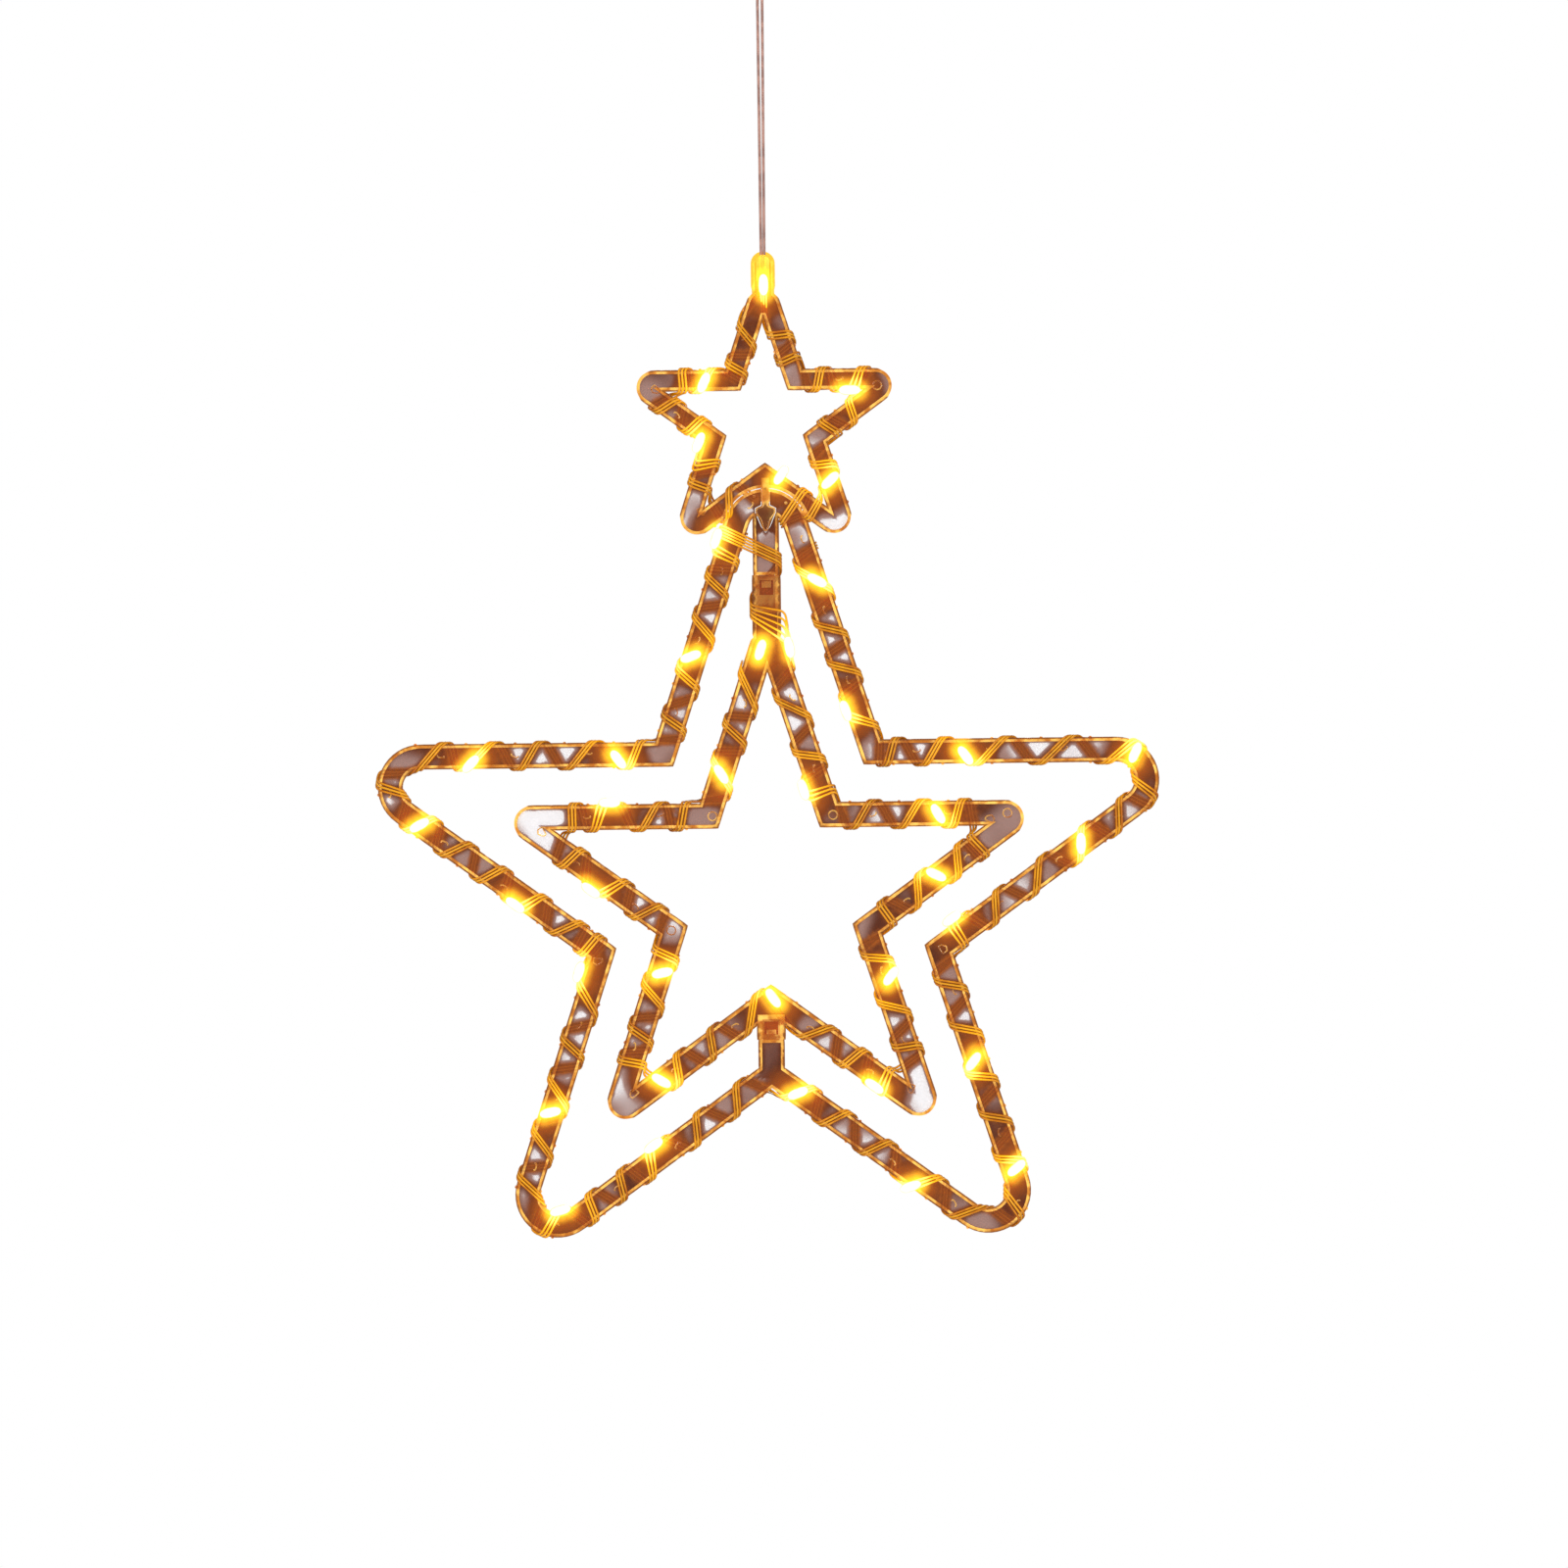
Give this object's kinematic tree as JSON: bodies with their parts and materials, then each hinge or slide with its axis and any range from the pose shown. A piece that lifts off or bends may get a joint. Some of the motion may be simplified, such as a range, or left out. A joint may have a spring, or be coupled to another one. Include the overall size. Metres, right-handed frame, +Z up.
{
  "type": "lighted hanging window star",
  "caption": "Battery-lit window star: three nested plastic pentagrams wound with wire and small lamps, hung by a two-core lead from a battery box on a suction-cup hook.",
  "frame": {"origin": "centre of the suction cup's flat face on the window glass", "axes": "+Y into the glass and the room on -Y, +Z up, X across the star"},
  "size_m": [0.3364, 0.0317, 0.6779],
  "materials": {
    "star_plastic": "smoky translucent moulded plastic, lit warm by the lamps",
    "string_wire": "thin insulated wire, clear warm coat",
    "lamp_drop": "clear resin drop over a small warm lamp",
    "lead_wire": "thin clear insulation over copper",
    "box_plastic": "fine satin moulding",
    "cell_jacket": "plain printed film with bare steel ends",
    "contact_metal": "plated spring steel",
    "plain_steel": "zinc plated",
    "board_green": "solder-masked glass laminate",
    "chip_black": "moulded black plastic",
    "grip_rubber": "soft moulded bush",
    "cup_vinyl": "clear soft vinyl",
    "hook_plastic": "clear hard plastic"
  },
  "bodies": {
    "window_hook": {"suction_cup": "cup_vinyl", "cup_hook": "hook_plastic"},
    "battery_box": {"box_case": "box_plastic", "board_cover": "box_plastic", "cover_screws": "plain_steel", "cell_left": "cell_jacket", "cell_middle": "cell_jacket", "cell_right": "cell_jacket", "contact_springs": "contact_metal", "contact_plates": "contact_metal", "circuit_board": "board_green", "timer_chip": "chip_black", "switch_body": "chip_black", "cable_grip": "grip_rubber", "board_wires": "lead_wire"},
    "lid": {"battery_lid": "box_plastic"},
    "slider": {"switch_slider": "chip_black"},
    "lead": {"lead_core_left": "lead_wire", "lead_core_right": "lead_wire"},
    "star": {"outer_star_frame": "star_plastic", "inner_star_frame": "star_plastic", "small_star_frame": "star_plastic", "outer_string_1": "string_wire", "outer_string_2": "string_wire", "outer_string_3": "string_wire", "outer_string_4": "string_wire", "outer_string_5": "string_wire", "outer_string_6": "string_wire", "inner_string_1": "string_wire", "inner_string_2": "string_wire", "inner_string_3": "string_wire", "inner_string_4": "string_wire", "inner_string_5": "string_wire", "inner_string_6": "string_wire", "small_string_1": "string_wire", "small_string_2": "string_wire", "small_string_3": "string_wire", "small_string_4": "string_wire", "small_string_5": "string_wire", "small_string_6": "string_wire", "stem_string": "string_wire", "outer_lamps": "lamp_drop", "inner_lamps": "lamp_drop", "small_lamps": "lamp_drop"}
  },
  "joints": [
    {"name": "box_swing", "type": "hinge", "parent": "window_hook", "child": "battery_box", "pos_m": [0, -0.02, -0.02], "axis": [0, 1, 0], "range_deg": [-20, 20]},
    {"name": "lead_swing", "type": "hinge", "parent": "battery_box", "child": "lead", "pos_m": [0, -0.02, -0.1125], "axis": [1, 0, 0], "range_deg": [-30, 1.5]},
    {"name": "star_twist", "type": "hinge", "parent": "lead", "child": "star", "pos_m": [0, -0.02, -0.2345], "axis": [0, 0, 1], "range_deg": [-45, 45]},
    {"name": "lid_slide", "type": "slide", "parent": "battery_box", "child": "lid", "axis": [0, 0, 1], "range_m": [0, 0.06]},
    {"name": "switch_slide", "type": "slide", "parent": "battery_box", "child": "slider", "axis": [1, 0, 0], "range_m": [0, 0.005]}
  ]
}
